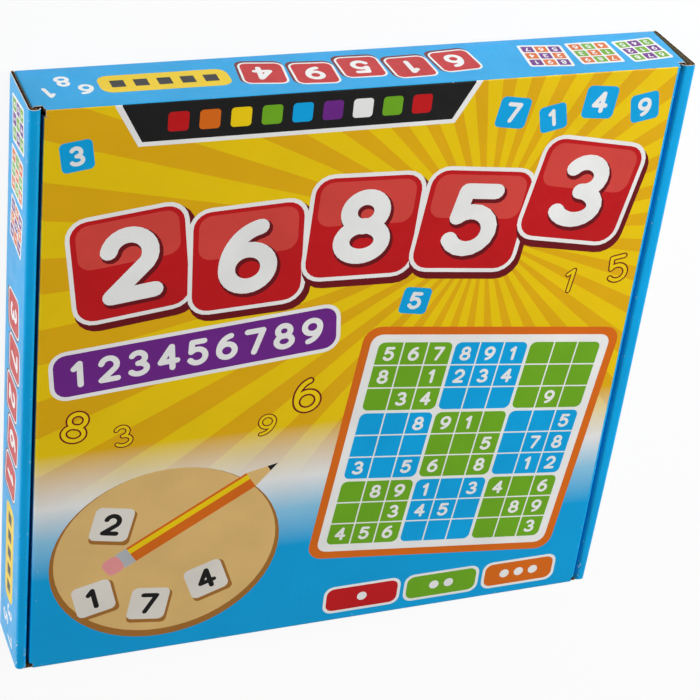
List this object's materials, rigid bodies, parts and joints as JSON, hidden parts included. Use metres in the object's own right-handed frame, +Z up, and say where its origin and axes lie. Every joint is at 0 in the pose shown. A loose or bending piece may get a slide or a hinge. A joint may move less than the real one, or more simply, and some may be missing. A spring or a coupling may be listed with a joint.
{
  "type": "boxed wooden sudoku board",
  "caption": "Flat square corrugated carton with a hinged tuck lid, dust flaps and rolled side walls, holding a framed wooden sudoku board with loose number tiles.",
  "frame": {"origin": "middle of the carton's underside", "axes": "+Z up through the lid, +Y towards the lid's hinge, +X to the right seen from the front"},
  "size_m": [0.3, 0.3, 0.037],
  "materials": {
    "printed_board": "blue print under a thin gloss film on corrugated board, brown kraft inside",
    "lid_board": "yellow print under a thin gloss film on corrugated board, brown kraft inside",
    "base_wood": "bare plywood, sanded",
    "frame_wood": "stained wood, satin",
    "tile_wood": "pale wood, sanded, with printed black digits"
  },
  "bodies": {
    "carton": {"bottom_panel": "printed_board", "back_wall": "printed_board", "front_wall": "printed_board", "left_outer_wall": "printed_board", "left_roll_strip": "printed_board", "left_inner_wall": "printed_board", "right_outer_wall": "printed_board", "right_roll_strip": "printed_board", "right_inner_wall": "printed_board", "back_left_corner_tab": "printed_board", "back_right_corner_tab": "printed_board", "front_left_corner_tab": "printed_board", "front_right_corner_tab": "printed_board"},
    "lid": {"lid_panel": "lid_board"},
    "tuck_flap": {"tuck_flap": "printed_board"},
    "left_dust_flap": {"left_dust_flap": "printed_board"},
    "right_dust_flap": {"right_dust_flap": "printed_board"},
    "game_board": {"board_base": "base_wood", "front_rail": "frame_wood", "back_rail": "frame_wood", "left_rail": "frame_wood", "right_rail": "frame_wood", "row_dividers": "frame_wood", "column_dividers": "frame_wood"},
    "number_1_tiles": {"number_1_tiles": "tile_wood"},
    "number_2_tiles": {"number_2_tiles": "tile_wood"},
    "number_3_tiles": {"number_3_tiles": "tile_wood"},
    "number_4_tiles": {"number_4_tiles": "tile_wood"},
    "number_5_tiles": {"number_5_tiles": "tile_wood"},
    "number_6_tiles": {"number_6_tiles": "tile_wood"},
    "number_7_tiles": {"number_7_tiles": "tile_wood"},
    "number_8_tiles": {"number_8_tiles": "tile_wood"},
    "number_9_tiles": {"number_9_tiles": "tile_wood"}
  },
  "joints": [
    {"name": "lid_hinge", "type": "hinge", "parent": "carton", "child": "lid", "pos_m": [0, 0.1492, 0.0362], "axis": [-1, 0, 0], "range_deg": [0, 180]},
    {"name": "tuck_flap_fold", "type": "hinge", "parent": "lid", "child": "tuck_flap", "pos_m": [0, -0.1456, 0.0354], "axis": [1, 0, 0], "range_deg": [0, 85]},
    {"name": "left_dust_flap_fold", "type": "hinge", "parent": "lid", "child": "left_dust_flap", "pos_m": [-0.1421, 0, 0.0354], "axis": [0, -1, 0], "range_deg": [0, 60]},
    {"name": "right_dust_flap_fold", "type": "hinge", "parent": "lid", "child": "right_dust_flap", "pos_m": [0.1421, 0, 0.0354], "axis": [0, 1, 0], "range_deg": [0, 60]},
    {"name": "board_lift", "type": "slide", "parent": "carton", "child": "game_board", "axis": [0, 0, 1], "range_m": [0, 0.02]},
    {"name": "number_1_lift", "type": "slide", "parent": "game_board", "child": "number_1_tiles", "axis": [0, 0, 1], "range_m": [0, 0.008]},
    {"name": "number_2_lift", "type": "slide", "parent": "game_board", "child": "number_2_tiles", "axis": [0, 0, 1], "range_m": [0, 0.008]},
    {"name": "number_3_lift", "type": "slide", "parent": "game_board", "child": "number_3_tiles", "axis": [0, 0, 1], "range_m": [0, 0.008]},
    {"name": "number_4_lift", "type": "slide", "parent": "game_board", "child": "number_4_tiles", "axis": [0, 0, 1], "range_m": [0, 0.008]},
    {"name": "number_5_lift", "type": "slide", "parent": "game_board", "child": "number_5_tiles", "axis": [0, 0, 1], "range_m": [0, 0.008]},
    {"name": "number_6_lift", "type": "slide", "parent": "game_board", "child": "number_6_tiles", "axis": [0, 0, 1], "range_m": [0, 0.008]},
    {"name": "number_7_lift", "type": "slide", "parent": "game_board", "child": "number_7_tiles", "axis": [0, 0, 1], "range_m": [0, 0.008]},
    {"name": "number_8_lift", "type": "slide", "parent": "game_board", "child": "number_8_tiles", "axis": [0, 0, 1], "range_m": [0, 0.008]},
    {"name": "number_9_lift", "type": "slide", "parent": "game_board", "child": "number_9_tiles", "axis": [0, 0, 1], "range_m": [0, 0.008]}
  ]
}
